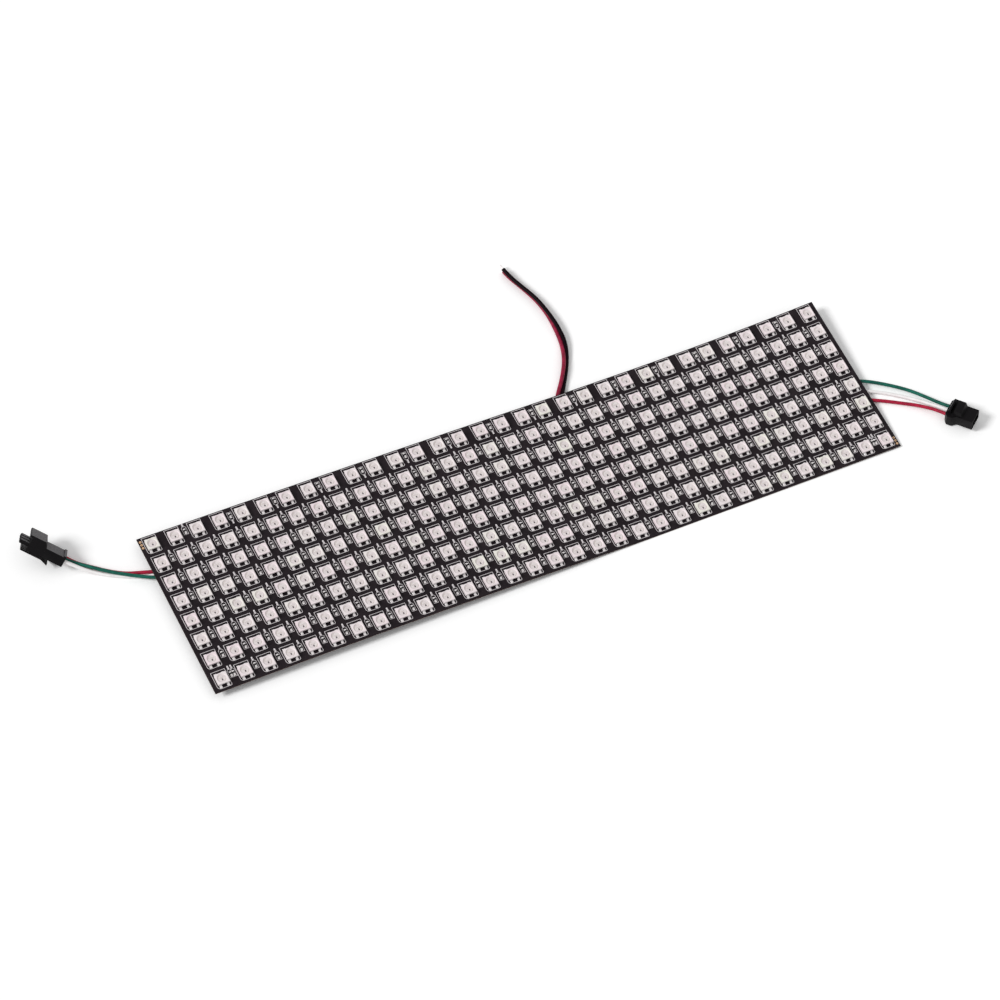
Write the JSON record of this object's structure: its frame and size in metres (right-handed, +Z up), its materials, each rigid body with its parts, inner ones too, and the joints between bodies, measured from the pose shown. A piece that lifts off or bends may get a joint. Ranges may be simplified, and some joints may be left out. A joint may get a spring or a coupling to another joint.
{
  "type": "rgb led matrix panel",
  "caption": "Flexible panel with a grid of square addressable RGB lamps, a signal plug on three wires at one end, a receptacle at the other and bare power leads.",
  "frame": {"origin": "on the table, under the middle of the panel", "axes": "+X along the rows of lamps from the input plug to the output receptacle, +Y across the rows to the edge that rides on the power leads, +Z up off the table"},
  "size_m": [0.4049, 0.1582, 0.0157],
  "materials": {
    "flexible_circuit": "satin solder mask on polyimide film",
    "lamp_package": "moulded white package with a milky window",
    "capacitor_ceramic": "fired ceramic with tinned ends",
    "plated_copper": "immersion gold",
    "connector_nylon": "moulded, satin",
    "contact_metal": "tin plated",
    "tinned_copper": "tinned strands and solder",
    "green_pvc": "extruded, soft gloss",
    "red_pvc": "extruded, soft gloss",
    "white_pvc": "extruded, soft gloss",
    "black_pvc": "extruded, soft gloss"
  },
  "bodies": {
    "root": {"flex_board": "flexible_circuit", "led_row_1": "lamp_package", "led_row_2": "lamp_package", "led_row_3": "lamp_package", "led_row_4": "lamp_package", "led_row_5": "lamp_package", "led_row_6": "lamp_package", "led_row_7": "lamp_package", "led_row_8": "lamp_package", "capacitor_row_1": "capacitor_ceramic", "capacitor_row_2": "capacitor_ceramic", "capacitor_row_3": "capacitor_ceramic", "capacitor_row_4": "capacitor_ceramic", "capacitor_row_5": "capacitor_ceramic", "capacitor_row_6": "capacitor_ceramic", "capacitor_row_7": "capacitor_ceramic", "capacitor_row_8": "capacitor_ceramic", "input_eyelets": "plated_copper", "output_eyelets": "plated_copper", "plug_housing": "connector_nylon", "receptacle_housing": "connector_nylon", "plug_contact_1": "contact_metal", "receptacle_pin_1": "contact_metal", "plug_contact_2": "contact_metal", "receptacle_pin_2": "contact_metal", "plug_contact_3": "contact_metal", "receptacle_pin_3": "contact_metal", "input_wire_green": "green_pvc", "input_wire_red": "red_pvc", "input_wire_white": "white_pvc", "output_wire_green": "green_pvc", "output_wire_red": "red_pvc", "output_wire_white": "white_pvc", "power_lead_red": "red_pvc", "stripped_end_red": "tinned_copper", "power_lead_black": "black_pvc", "stripped_end_black": "tinned_copper", "input_solder_joints": "tinned_copper", "output_solder_joints": "tinned_copper", "power_solder_joints": "tinned_copper"}
  },
  "joints": []
}
